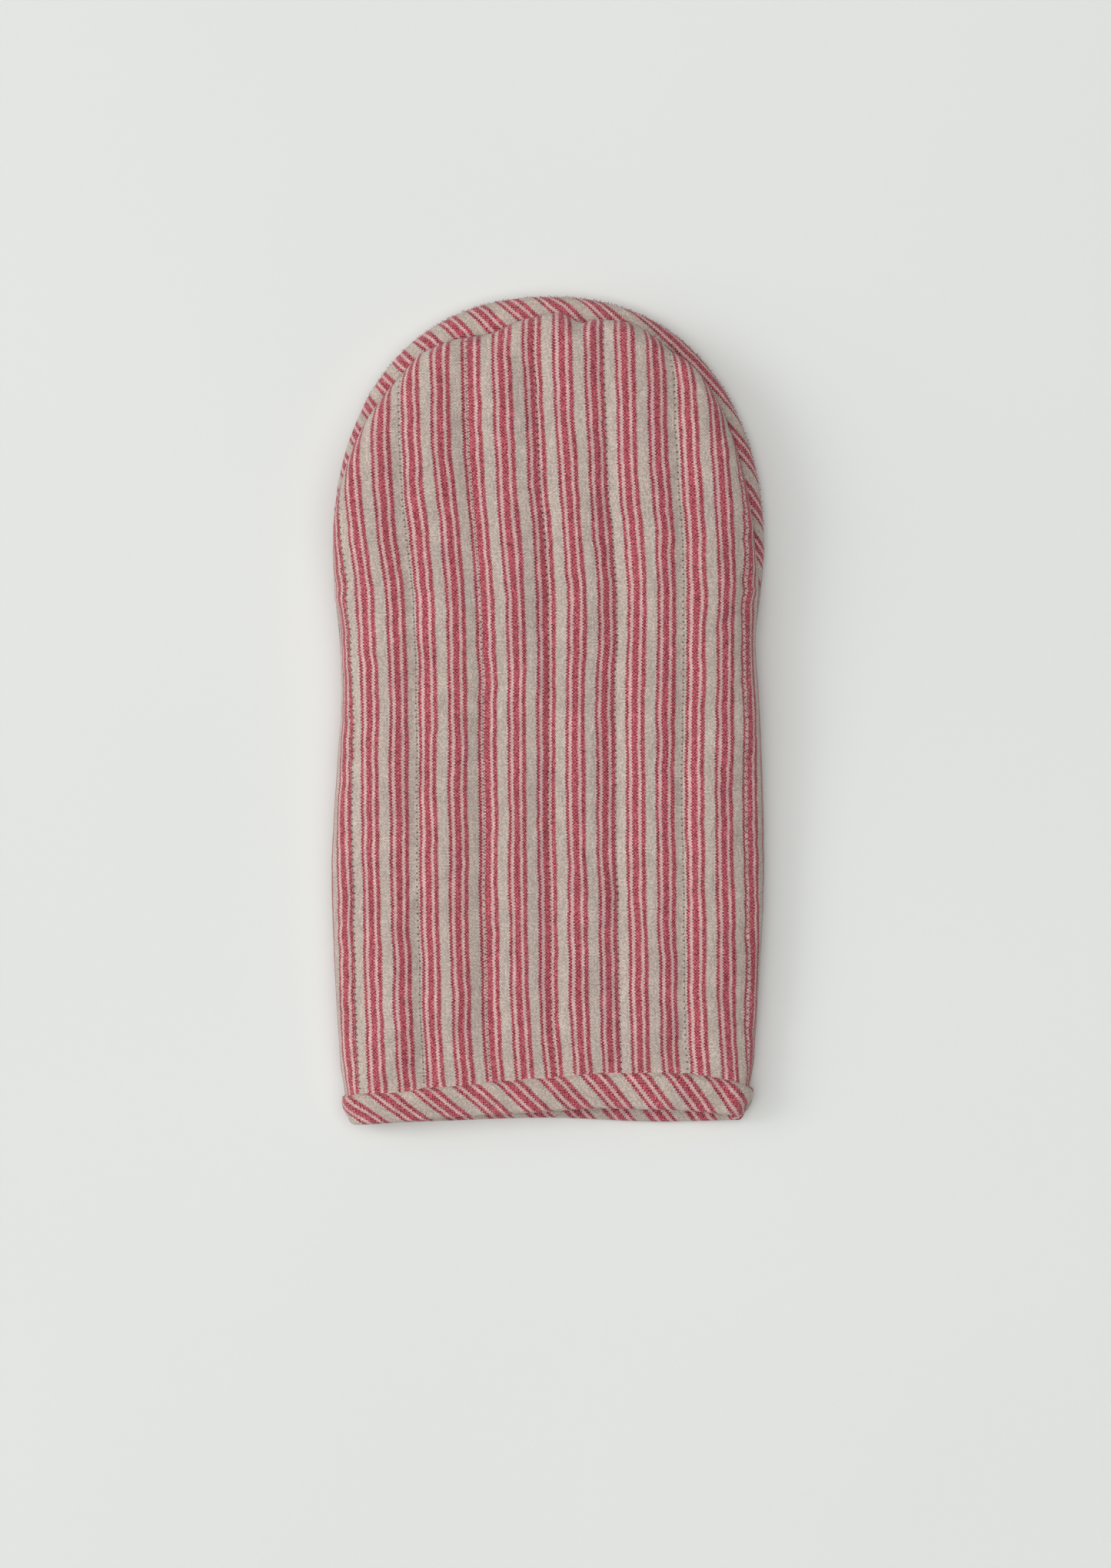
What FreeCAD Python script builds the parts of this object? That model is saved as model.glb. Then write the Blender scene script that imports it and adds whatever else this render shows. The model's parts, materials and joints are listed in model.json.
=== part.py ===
"""Beak-type oven mitt: a quilted hand section with a finger jaw and a thumb jaw.

The mitt lies on its back. X is its width, +Y runs from the cuff to the tip and +Z is up,
with the origin on the table under the middle of the mitt. Every padded wall is a sandwich
of an outer cloth, a wadding and a lining, held together by straight rows of quilting.
A wall is described by its seam plane and its rise: from the seam plane it curves through a
quarter circle into its flat face, which lies one rise above (or below) the seam plane.
"""
import FreeCAD, Part
import os
import Sketcher

doc = FreeCAD.newDocument("OvenMitt")
sheet = doc.addObject("Spreadsheet::Sheet", "Sizes")

SIZES = [
    ("mitt_length", 300.0, "cuff edge to tip"),
    ("mouth_from_cuff", 195.0, "cuff edge to the fold of the mouth"),
    ("palm_from_cuff", 88.0, "cuff edge to the widest place of the hand section"),
    ("binding_width", 13.0, "visible width of the cuff binding"),
    ("mouth_half_width", 76.0, "half the width beside the mouth fold"),
    ("palm_half_width", 78.2, "half the width at the palm"),
    ("cuff_half_width", 72.4, "half the width of the walls at the cuff"),
    ("mouth_top", 26.8, "height of the front wall at the mouth fold"),
    ("palm_top", 20.0, "height of the front wall at the palm"),
    ("cuff_top", 17.2, "height of the front wall at the cuff"),
    ("thumb_half_width", 77.6, "half the width of the thumb jaw"),
    ("finger_half_width", 73.5, "half the width of the finger jaw"),
    ("finger_setback", 9.0, "how far the finger jaw stops short of the thumb jaw"),
    ("mouth_height", 13.2, "height of the lower mouth face above the table"),
    ("mouth_gap", 0.4, "gap between the closed mouth faces"),
    ("back_seam", 5.6, "height of the back wall's seam plane above its face"),
    ("finger_seam", 3.4, "height of the finger jaw's seam plane above its mouth face"),
    ("outer_cloth", 0.6, "outer cloth of front and back"),
    ("panel_wadding", 3.3, "wadding of front and back"),
    ("lining_cloth", 0.6, "lining cloth"),
    ("mouth_cloth", 0.5, "outer cloth of the mouth piece"),
    ("mouth_wadding", 1.9, "wadding of the mouth piece"),
    ("layer_ease", 0.05, "room between two layers"),
    ("table_press", 0.05, "how far the table presses the back of the hand section flat"),
    ("hinge_gap", 0.3, "half the gap between the hand section and a jaw"),
    ("quilt_pitch", 23.8, "distance between two rows of quilting"),
    ("groove_width", 1.2, "width of the furrow along a row"),
    ("groove_depth", 0.3, "depth of the furrow along a row"),
    ("thread_width", 0.5, "width of a quilting thread"),
    ("thread_sink", 0.05, "depth of the thread's face under the cloth's face"),
    ("mouth_bias", 33.0, "angle of the mouth piece's rows from the length, in degrees"),
    ("seam_strip_width", 2.4, "width of a seam allowance"),
    ("seam_strip_height", 0.9, "thickness of a seam allowance"),
    ("tool_reach", 1.0, "how far a cutting tool stands out of the cloth"),
]

QUILT_ROWS = 7  # rows across the front and across the back
MOUTH_ROWS = 5  # rows across the mouth piece

for row, (alias, size, meaning) in enumerate(SIZES, start=1):
    sheet.set(f"A{row}", meaning)
    sheet.set(f"B{row}", str(size))
    sheet.setAlias(f"B{row}", alias)
doc.recompute()

CUFF_Y = "-Sizes.mitt_length / 2"
MOUTH_Y = f"({CUFF_Y} + Sizes.mouth_from_cuff)"
JAW_START_Y = f"({MOUTH_Y} + Sizes.hinge_gap)"
THUMB_CENTRE_Y = "(Sizes.mitt_length / 2 - Sizes.thumb_half_width)"
FINGER_CENTRE_Y = "(Sizes.mitt_length / 2 - Sizes.finger_setback - Sizes.finger_half_width)"
CLOTH_BASE = "(Sizes.outer_cloth + Sizes.layer_ease)"

# Depths of the layers below the outside of a wall, from and to.
OUTER = ("0", "Sizes.outer_cloth")
WADDING = (CLOTH_BASE, f"({CLOTH_BASE} + Sizes.panel_wadding)")
LINING_NEAR = f"({WADDING[1]} + Sizes.layer_ease)"
LINING = (LINING_NEAR, f"({LINING_NEAR} + Sizes.lining_cloth)")
MOUTH_OUTER = ("0", "Sizes.mouth_cloth")
MOUTH_BASE = "(Sizes.mouth_cloth + Sizes.layer_ease)"
MOUTH_WADDING = (MOUTH_BASE, f"({MOUTH_BASE} + Sizes.mouth_wadding)")
MOUTH_LINING_NEAR = f"({MOUTH_WADDING[1]} + Sizes.layer_ease)"
MOUTH_LINING = (MOUTH_LINING_NEAR, f"({MOUTH_LINING_NEAR} + Sizes.mouth_cloth)")
GROOVE = ("-Sizes.tool_reach", "Sizes.groove_depth")
THREAD = ("Sizes.thread_sink", "Sizes.groove_depth")

START, END, CENTRE = 1, 2, 3  # the points of a sketched arc or line
ORIGIN = -1  # the sketch's origin, and its horizontal axis
UPRIGHT_AXIS = -2  # the sketch's upright axis


class Wall:
    """Where one wall's cross-section lies at one place along the mitt."""

    def __init__(self, y, half_width, seam, rise, side):
        self.y = y
        self.half_width = half_width
        self.seam = seam
        self.rise = rise
        self.side = side  # +1 where the wall arches up from its seam, -1 where it hangs down

    def radius(self, depth):
        return f"({self.rise} - {depth})"

    def bend_x(self):
        return f"({self.half_width} - {self.rise})"


def value(expression):
    found = sheet.evalExpression(expression)
    return float(getattr(found, "Value", found))


def hand_walls(front):
    """The hand section's wall at the cuff edge, below the binding, at the palm and the mouth.

    The binding lifts the cuff by its own thickness.
    """
    places = [
        (f"({CUFF_Y} + {CLOTH_BASE})", "cuff", CLOTH_BASE),
        (f"({CUFF_Y} + Sizes.binding_width)", "cuff", CLOTH_BASE),
        (f"({CUFF_Y} + Sizes.palm_from_cuff)", "palm", "(0 - Sizes.table_press)"),
        (f"({MOUTH_Y} - Sizes.hinge_gap)", "mouth", "(0 - Sizes.table_press)"),
    ]
    walls = []
    for y, place, base in places:
        seam = f"({base} + Sizes.back_seam)"
        rise = f"(Sizes.{place}_top - {seam})" if front else "Sizes.back_seam"
        side = 1 if front else -1
        walls.append(Wall(y, f"Sizes.{place}_half_width", seam, rise, side))
    return walls


THUMB_BACK = Wall(THUMB_CENTRE_Y, "Sizes.thumb_half_width", "Sizes.back_seam", "Sizes.back_seam", -1)
THUMB_MOUTH = Wall(
    THUMB_CENTRE_Y,
    "Sizes.thumb_half_width",
    "Sizes.back_seam",
    "(Sizes.mouth_height - Sizes.back_seam)",
    1,
)
FINGER_SEAM = "(Sizes.mouth_height + Sizes.mouth_gap + Sizes.finger_seam)"
FINGER_MOUTH = Wall(FINGER_CENTRE_Y, "Sizes.finger_half_width", FINGER_SEAM, "Sizes.finger_seam", -1)
FINGER_FRONT = Wall(
    FINGER_CENTRE_Y,
    "Sizes.finger_half_width",
    FINGER_SEAM,
    f"(Sizes.mouth_top - {FINGER_SEAM})",
    1,
)


def upright_sketch(body, name, y):
    """An empty sketch across the mitt at the given place along its length."""
    plane = next(f for f in body.Origin.OriginFeatures if f.Role == "XZ_Plane")
    sketch = body.newObject("Sketcher::SketchObject", name)
    sketch.AttachmentSupport = (plane, [""])
    sketch.MapMode = "FlatFace"
    sketch.setExpression("AttachmentOffset.Base.z", f"-({y})")
    return sketch


def bind(sketch, kind, references, expression):
    """Adds a dimension to the sketch and binds it to the sheet."""
    number = sketch.addConstraint(Sketcher.Constraint(kind, *references, value(expression)))
    sketch.setExpression(f"Constraints[{number}]", expression)


def point(x, y):
    return FreeCAD.Vector(x, y, 0)


def quarter_arc(sketch, wall, hand, depth):
    """The wall's rounded edge, on the left (hand -1) or on the right (hand 1)."""
    centre = point(hand * value(wall.bend_x()), value(wall.seam))
    first = {(1, 1): 0, (-1, 1): 1, (-1, -1): 2, (1, -1): 3}[(hand, wall.side)]
    circle = Part.Circle(centre, FreeCAD.Vector(0, 0, 1), value(wall.radius(depth)))
    turn = FreeCAD.Units.Quantity("90 deg").getValueAs("rad").Value
    arc = sketch.addGeometry(Part.ArcOfCircle(circle, first * turn, (first + 1) * turn))
    # The end on the seam plane comes first on two of the four quarters.
    seam_end, face_end = (START, END) if hand * wall.side > 0 else (END, START)
    sketch.addConstraint(Sketcher.Constraint("Vertical", arc, CENTRE, arc, face_end))
    sketch.addConstraint(Sketcher.Constraint("Horizontal", arc, CENTRE, arc, seam_end))
    return (arc, seam_end), (arc, face_end)


def place_arc(sketch, arc, wall, hand, depth):
    """Fixes an arc's centre and radius by the sheet."""
    ends = (ORIGIN, START, arc, CENTRE) if hand > 0 else (arc, CENTRE, ORIGIN, START)
    bind(sketch, "DistanceX", ends, wall.bend_x())
    bind(sketch, "DistanceY", (ORIGIN, START, arc, CENTRE), wall.seam)
    bind(sketch, "Radius", (arc,), wall.radius(depth))


def join(sketch, one, other):
    """A line between two ends of arcs, each end given as (geometry, point)."""
    ends = [sketch.getPoint(*one), sketch.getPoint(*other)]
    line = sketch.addGeometry(Part.LineSegment(*ends))
    sketch.addConstraint(Sketcher.Constraint("Coincident", line, START, *one))
    sketch.addConstraint(Sketcher.Constraint("Coincident", line, END, *other))
    return line


def wall_section(body, name, wall, y, depths):
    """The whole cross-section of one layer of a wall."""
    sketch = upright_sketch(body, name, y)
    seam_ends = {}
    for depth in depths:
        face_ends = []
        for hand in (-1, 1):
            seam_end, face_end = quarter_arc(sketch, wall, hand, depth)
            place_arc(sketch, seam_end[0], wall, hand, depth)
            seam_ends.setdefault(hand, []).append(seam_end)
            face_ends.append(face_end)
        join(sketch, *face_ends)
    for ends in seam_ends.values():
        join(sketch, *ends)
    return sketch


def half_section(body, name, wall, y, depths):
    """The right half of one layer's cross-section, closed along the upright axis."""
    sketch = upright_sketch(body, name, y)
    seam_ends = []
    axis_ends = []
    for depth in depths:
        seam_end, face_end = quarter_arc(sketch, wall, 1, depth)
        place_arc(sketch, seam_end[0], wall, 1, depth)
        face = sketch.getPoint(*face_end)
        line = sketch.addGeometry(Part.LineSegment(face, point(0, face.y)))
        sketch.addConstraint(Sketcher.Constraint("Coincident", line, START, *face_end))
        sketch.addConstraint(Sketcher.Constraint("Horizontal", line))
        sketch.addConstraint(Sketcher.Constraint("PointOnObject", line, END, UPRIGHT_AXIS))
        seam_ends.append(seam_end)
        axis_ends.append((line, END))
    join(sketch, *seam_ends)
    join(sketch, *axis_ends)
    return sketch


def new_body(name):
    body = doc.addObject("PartDesign::Body", name)
    body.AllowCompound = True
    return body


def hand_layer(name, front, depths):
    """One layer of the hand section's front or back, lofted from the cuff to the mouth."""
    body = new_body(name)
    sections = [
        wall_section(body, f"{name}_section_{i}", wall, wall.y, depths)
        for i, wall in enumerate(hand_walls(front))
    ]
    loft = body.newObject("PartDesign::AdditiveLoft", f"{name}_loft")
    loft.Profile = sections[0]
    loft.Sections = sections[1:]
    loft.Ruled = True
    body.Tip = loft
    return body


def jaw_layer(name, wall, depths):
    """One layer of a jaw: a straight stretch from the mouth fold, then a round tip."""
    body = new_body(name)
    straight = wall_section(body, f"{name}_section", wall, wall.y, depths)
    pad = body.newObject("PartDesign::Pad", f"{name}_pad")
    pad.Profile = straight
    pad.setExpression("Length", f"{wall.y} - {JAW_START_Y}")
    half = half_section(body, f"{name}_half_section", wall, wall.y, depths)
    tip = body.newObject("PartDesign::Revolution", f"{name}_tip")
    tip.Profile = half
    tip.ReferenceAxis = (half, ["V_Axis"])
    tip.Angle = 180.0
    body.Tip = tip
    return body


def rows(name, count, width, turn):
    """Upright slabs of the given width, one quilting pitch apart, turned about +Z."""
    slabs = []
    for i in range(count):
        slab = doc.addObject("Part::Box", f"{name}_{i}")
        slab.setExpression("Length", width)
        slab.setExpression("Width", "2 * Sizes.mitt_length")
        slab.setExpression("Height", "Sizes.mouth_top + 2 * Sizes.tool_reach")
        slab.setExpression("Placement.Base.x", f"{i - (count - 1) / 2} * Sizes.quilt_pitch - {width} / 2")
        slab.setExpression("Placement.Base.y", "-Sizes.mitt_length")
        slab.setExpression("Placement.Base.z", "-Sizes.tool_reach")
        slabs.append(slab)
    group = doc.addObject("Part::Compound", name)
    group.Links = slabs
    group.setExpression("Placement.Rotation.Angle", turn)
    group.setExpression("Placement.Base.y", f"{turn} == 0 ? 0 : {THUMB_CENTRE_Y}")
    return group


def boolean(kind, name, base, tool):
    made = doc.addObject(f"Part::{kind}", name)
    made.Base = base
    made.Tool = tool
    return made


def table():
    """A block that fills the space under the table's face."""
    block = doc.addObject("Part::Box", "table")
    block.setExpression("Length", "2 * Sizes.mitt_length")
    block.setExpression("Width", "2 * Sizes.mitt_length")
    block.setExpression("Height", "Sizes.tool_reach")
    block.setExpression("Placement.Base.x", "-Sizes.mitt_length")
    block.setExpression("Placement.Base.y", "-Sizes.mitt_length")
    block.setExpression("Placement.Base.z", "-Sizes.tool_reach")
    return block


def quilt(name, thread_name, cloth, layer):
    """Cuts the furrows into a cloth and lays the threads in them; layer makes its layers."""
    turn = "Sizes.mouth_bias" if name.startswith("mouth") else "0"
    count = MOUTH_ROWS if name.startswith("mouth") else QUILT_ROWS
    furrow_rows = rows(f"{name}_furrow_rows", count, "Sizes.groove_width", turn)
    thread_rows = rows(f"{name}_thread_rows", count, "Sizes.thread_width", turn)
    furrow = boolean("Common", f"{name}_furrow", layer(f"{name}_furrow_zone", GROOVE), furrow_rows)
    if name == "back_outer_hand":
        cloth = boolean("Cut", f"{name}_pressed", cloth, table())
    cut = boolean("Cut", name, cloth, furrow)
    thread = boolean("Common", thread_name, layer(f"{name}_thread_zone", THREAD), thread_rows)
    return [cut, thread]


def padded_wall(names, layer, outer, wadding, lining):
    """Outer cloth with its quilting threads, wadding and lining of one wall."""
    outer_name, thread_name, wadding_name, lining_name = names
    pieces = quilt(outer_name, thread_name, layer(f"{outer_name}_cloth", outer), layer)
    pieces.append(layer(wadding_name, wadding))
    pieces.append(layer(lining_name, lining))
    return pieces


def ring_loop(sketch, front, back, depth):
    """A closed loop round the cuff, the given depth inside the outside of its walls."""
    ends = {}
    for hand in (-1, 1):
        for wall in (front, back):
            seam_end, face_end = quarter_arc(sketch, wall, hand, depth)
            ends[(hand, wall.side)] = (seam_end, face_end)
    for side in (-1, 1):
        join(sketch, ends[(-1, side)][1], ends[(1, side)][1])
    for hand in (-1, 1):
        upper, lower = ends[(hand, 1)][0], ends[(hand, -1)][0]
        sketch.addConstraint(Sketcher.Constraint("Coincident", *upper, *lower))
        place_arc(sketch, upper[0], front, hand, depth)
        ends_x = (ORIGIN, START, lower[0], CENTRE) if hand > 0 else (lower[0], CENTRE, ORIGIN, START)
        bind(sketch, "DistanceX", ends_x, back.bend_x())


def cuff_binding():
    """A tape folded over the cuff's edge: outside, edge and inside in one piece."""
    front = hand_walls(True)[0]
    back = hand_walls(False)[0]
    body = new_body("cuff_binding")
    outline = upright_sketch(body, "cuff_binding_outline", f"({CUFF_Y} + Sizes.binding_width)")
    inside = f"({LINING[1]} + {CLOTH_BASE})"
    ring_loop(outline, front, back, f"(0 - {CLOTH_BASE})")
    ring_loop(outline, front, back, inside)
    pad = body.newObject("PartDesign::Pad", "cuff_binding_pad")
    pad.Profile = outline
    pad.setExpression("Length", "Sizes.binding_width")
    slot = upright_sketch(body, "cuff_binding_slot", f"({CUFF_Y} + Sizes.binding_width)")
    ring_loop(slot, front, back, "(0 - Sizes.layer_ease)")
    ring_loop(slot, front, back, f"({LINING[1]} + Sizes.layer_ease)")
    pocket = body.newObject("PartDesign::Pocket", "cuff_binding_pocket")
    pocket.Profile = slot
    pocket.setExpression("Length", "Sizes.binding_width - Sizes.outer_cloth")
    pocket.Reversed = True
    body.Tip = pocket
    return body


def strip_sketch(body, name, y, wall, hand):
    """The cross-section of a seam allowance that stands just inside a wall's lining."""
    sketch = upright_sketch(body, name, y)
    outer_x = f"({wall.half_width} - {LINING[1]} - Sizes.seam_strip_height)"
    inner_x = f"({outer_x} - Sizes.seam_strip_width)"
    low = f"({wall.seam} + Sizes.layer_ease)"
    x_values = sorted(hand * value(x) for x in (inner_x, outer_x))
    z_values = (value(low), value(low) + value("Sizes.seam_strip_height"))
    corners = [
        point(x_values[0], z_values[0]),
        point(x_values[1], z_values[0]),
        point(x_values[1], z_values[1]),
        point(x_values[0], z_values[1]),
    ]
    for i, corner in enumerate(corners):
        sketch.addGeometry(Part.LineSegment(corner, corners[(i + 1) % 4]))
    for i in range(4):
        sketch.addConstraint(Sketcher.Constraint("Coincident", i, END, (i + 1) % 4, START))
        sketch.addConstraint(Sketcher.Constraint("Vertical" if i % 2 else "Horizontal", i))
    first = inner_x if hand > 0 else outer_x
    ends = (ORIGIN, START, 0, START) if hand > 0 else (0, START, ORIGIN, START)
    bind(sketch, "DistanceX", ends, first)
    bind(sketch, "DistanceY", (ORIGIN, START, 0, START), low)
    bind(sketch, "DistanceX", (0, START, 0, END), "Sizes.seam_strip_width")
    bind(sketch, "DistanceY", (1, START, 1, END), "Sizes.seam_strip_height")
    return sketch


def side_seam(name, hand):
    """The folded-in seam allowance along one side of the hand section."""
    body = new_body(name)
    walls = hand_walls(True)[1:]
    sketches = [
        strip_sketch(body, f"{name}_section_{i}", wall.y, wall, hand)
        for i, wall in enumerate(walls)
    ]
    loft = body.newObject("PartDesign::AdditiveLoft", f"{name}_loft")
    loft.Profile = sketches[0]
    loft.Sections = sketches[1:]
    loft.Ruled = True
    body.Tip = loft
    return body


def jaw_seam(name, wall):
    """The folded-in seam allowance round a jaw's tip."""
    body = new_body(name)
    section = strip_sketch(body, f"{name}_section", wall.y, wall, 1)
    tip = body.newObject("PartDesign::Revolution", f"{name}_tip")
    tip.Profile = section
    tip.ReferenceAxis = (section, ["V_Axis"])
    tip.Angle = 180.0
    body.Tip = tip
    return body


def hand_front(name, depths):
    return hand_layer(name, True, depths)


def hand_back(name, depths):
    return hand_layer(name, False, depths)


def finger_front(name, depths):
    return jaw_layer(name, FINGER_FRONT, depths)


def finger_mouth(name, depths):
    return jaw_layer(name, FINGER_MOUTH, depths)


def thumb_back(name, depths):
    return jaw_layer(name, THUMB_BACK, depths)


def thumb_mouth(name, depths):
    return jaw_layer(name, THUMB_MOUTH, depths)


def make_pieces():
    panel = (OUTER, WADDING, LINING)
    mouth = (MOUTH_OUTER, MOUTH_WADDING, MOUTH_LINING)
    walls = [
        ("front_{}_hand", hand_front, panel),
        ("back_{}_hand", hand_back, panel),
        ("front_{}_finger", finger_front, panel),
        ("back_{}_thumb", thumb_back, panel),
        ("mouth_upper_{}", finger_mouth, mouth),
        ("mouth_lower_{}", thumb_mouth, mouth),
    ]
    pieces = []
    for pattern, layer, depths in walls:
        names = [pattern.format(kind) for kind in ("outer", "quilting", "wadding", "lining")]
        pieces += padded_wall(names, layer, *depths)
    pieces.append(cuff_binding())
    pieces.append(side_seam("side_seam_left", -1))
    pieces.append(side_seam("side_seam_right", 1))
    pieces.append(jaw_seam("finger_seam_allowance", FINGER_FRONT))
    pieces.append(jaw_seam("thumb_seam_allowance", THUMB_MOUTH))
    return pieces


def check_and_write(pieces):
    doc.recompute()
    for thing in doc.Objects:
        if {"Invalid", "Error"} & set(thing.State):
            raise RuntimeError(f"{thing.Name} failed: {thing.State}")
    for piece in pieces:
        if piece.Shape.isNull() or not piece.Shape.isValid() or piece.Shape.Volume <= 0:
            raise RuntimeError(f"{piece.Name} has no valid solid")
    os.makedirs("parts", exist_ok=True)
    for piece in pieces:
        piece.Label = piece.Name
        piece.Shape.exportStep(f"parts/{piece.Label}.step")
        box = piece.Shape.BoundBox
        print(
            f"{piece.Label:24s} solids {len(piece.Shape.Solids):2d} volume {piece.Shape.Volume:10.1f}"
            f"  X {box.XMin:7.2f} {box.XMax:7.2f}  Y {box.YMin:7.2f} {box.YMax:7.2f}"
            f"  Z {box.ZMin:6.2f} {box.ZMax:6.2f}"
        )


check_and_write(make_pieces())
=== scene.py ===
import json
import math

import bpy
import numpy as np
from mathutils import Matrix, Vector
from mathutils.bvhtree import BVHTree
from mathutils.kdtree import KDTree


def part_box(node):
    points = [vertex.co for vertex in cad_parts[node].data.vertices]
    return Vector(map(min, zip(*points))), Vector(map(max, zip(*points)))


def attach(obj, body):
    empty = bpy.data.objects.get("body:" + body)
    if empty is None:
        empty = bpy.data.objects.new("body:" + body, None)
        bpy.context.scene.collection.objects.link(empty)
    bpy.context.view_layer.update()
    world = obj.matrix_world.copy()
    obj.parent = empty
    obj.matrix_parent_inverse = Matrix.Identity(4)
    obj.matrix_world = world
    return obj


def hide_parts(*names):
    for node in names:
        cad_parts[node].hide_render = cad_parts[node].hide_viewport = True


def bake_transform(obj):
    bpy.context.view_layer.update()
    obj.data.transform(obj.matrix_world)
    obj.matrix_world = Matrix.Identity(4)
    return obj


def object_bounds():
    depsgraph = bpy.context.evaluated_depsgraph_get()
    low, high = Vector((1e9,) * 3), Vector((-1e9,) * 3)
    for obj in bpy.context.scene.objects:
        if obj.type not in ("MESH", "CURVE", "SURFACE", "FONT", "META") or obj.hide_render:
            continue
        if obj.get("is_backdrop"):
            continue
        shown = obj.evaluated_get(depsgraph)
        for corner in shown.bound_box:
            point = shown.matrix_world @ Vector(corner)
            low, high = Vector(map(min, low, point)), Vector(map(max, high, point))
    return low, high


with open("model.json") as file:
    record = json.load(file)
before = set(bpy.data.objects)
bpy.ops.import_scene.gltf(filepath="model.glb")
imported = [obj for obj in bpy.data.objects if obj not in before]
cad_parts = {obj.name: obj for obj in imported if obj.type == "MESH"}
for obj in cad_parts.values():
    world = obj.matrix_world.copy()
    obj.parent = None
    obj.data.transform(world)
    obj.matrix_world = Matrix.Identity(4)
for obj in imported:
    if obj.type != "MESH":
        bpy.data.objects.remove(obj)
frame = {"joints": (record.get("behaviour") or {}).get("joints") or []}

CAD_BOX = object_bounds()

# ----------------
# Sizes, in millimetres in the frame. Everything is made in millimetres and
# becomes metres when a mesh is built.
# ----------------
MM = 0.001
HAND, FINGER, THUMB = "hand_section", "finger_jaw", "thumb_jaw"

JOINTS = {joint["name"]: joint for joint in frame["joints"]}
MOUTH_Y = JOINTS["finger_jaw_opening"]["pos_m"][1] / MM
TIP_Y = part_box("back_outer_thumb")[1].y / MM
LOWER_MOUTH_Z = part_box("mouth_lower_outer")[1].z / MM
UPPER_MOUTH_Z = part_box("mouth_upper_outer")[0].z / MM

# Each layer: name, depth of its outer and inner face in the middle of a wall, and their
# distance from the seam where the layers are sewn together.
PANEL = (("cover", 0.0, 0.6, 0.06, 0.66), ("batting", 0.7, 3.9, 0.75, 1.0),
         ("lining", 4.0, 4.6, 1.1, 1.7))
MOUTH = (("cover", 0.0, 0.5, 0.06, 0.56), ("batting", 0.62, 2.4, 0.65, 0.9),
         ("lining", 2.5, 3.0, 1.0, 1.5))
REPEAT = 10.6  # one repeat of the stripes
BEIGE_X = 4.7  # middle of a beige stripe, across the front
BEIGE_MIDDLE = 0.178  # its place in the repeat
ROW_PITCH = 23.8  # between two rows of quilting
ROW_X = 0.3  # the middle row
STITCH = 2.42  # pitch of the quilting stitches
GRID = 1.12  # grid spacing of the cloth
COVER = 0.6  # thickness of the outer cloth
CORNER_TRIM = 7.0  # how far the filling and the lining are cut back at the mouth's corners
CORNER_DEPTH = 3.0  # every inner layer lies about this deep at those corners
SQUEEZE = 1.1  # how much the binding presses each face of a wall in
PRESS_LENGTH = 13.0  # and how far past the binding that shows
FULL_EDGE = 5.0  # layers keep their full distance from the seam where a wall rises this much
TUCK = 1.8  # how far a sheet's edge is turned in at a seam
ROUNDNESS = 0.86  # share of a wall's rise that its rolled edge takes; the rest is its crown
FLOOR_GAP = 0.05  # between the back and the floor
ROUND_Y = 56.0  # the round tip starts here
HALF_WIDTH = 77.6  # of the back where the tip starts
TIP_LENGTH = 85.0  # of the front's round tip

# The cloth simulation, and how the fabric gives between the rows of stitches.
COARSE = 10  # the simulated sheet is this many times larger, as Cloth needs a large one
SETTLE_FRAMES = 22
PUFF_LIMIT = 2.0  # the most that a point may move
PINNED_ROW = 1.25  # cloth this close to a row of stitches is held
PINNED_EDGE = 1.5  # and this close to a seam or to the binding
FULL_PINCH = 1.6  # the folds beside a row are drawn for a furrow this deep
PANEL_ROOM, MOUTH_ROOM = 2.4, 1.1  # the most that the inside may stand above the outside


# ----------------
# Curves and noise
# ----------------
def through(points, at):
    """A smooth curve through a few (place, value) points."""
    places = np.array([p for p, _ in points], float)
    values = np.array([v for _, v in points], float)
    slopes = np.gradient(values, places)
    at = np.clip(at, places[0], places[-1])
    i = np.clip(np.searchsorted(places, at) - 1, 0, len(places) - 2)
    span = places[i + 1] - places[i]
    t = (at - places[i]) / span
    a = values[i] * (2 * t**3 - 3 * t**2 + 1) + values[i + 1] * (3 * t**2 - 2 * t**3)
    return a + span * (slopes[i] * (t**3 - 2 * t**2 + t) + slopes[i + 1] * (t**3 - t**2))


def ease(x, start, end):
    """0 before start, 1 after end, smooth between."""
    t = np.clip((x - start) / (end - start), 0, 1)
    return t * t * (3 - 2 * t)


def noise(u, v, size_u, size_v, seed):
    """Smooth noise of about unit height over a lattice of the given cell size."""
    side = 128
    lattice = np.random.default_rng(seed).uniform(-1, 1, (side, side))
    a, b = np.asarray(u) / size_u, np.asarray(v) / size_v
    i, j = np.floor(a).astype(int), np.floor(b).astype(int)
    p, q = a - i, b - j
    p, q = p**3 * (p * (p * 6 - 15) + 10), q**3 * (q * (q * 6 - 15) + 10)
    corner = lambda di, dj: lattice[(i + di) % side, (j + dj) % side]
    low = corner(0, 0) * (1 - p) + corner(1, 0) * p
    high = corner(0, 1) * (1 - p) + corner(1, 1) * p
    return low * (1 - q) + high * q


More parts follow.
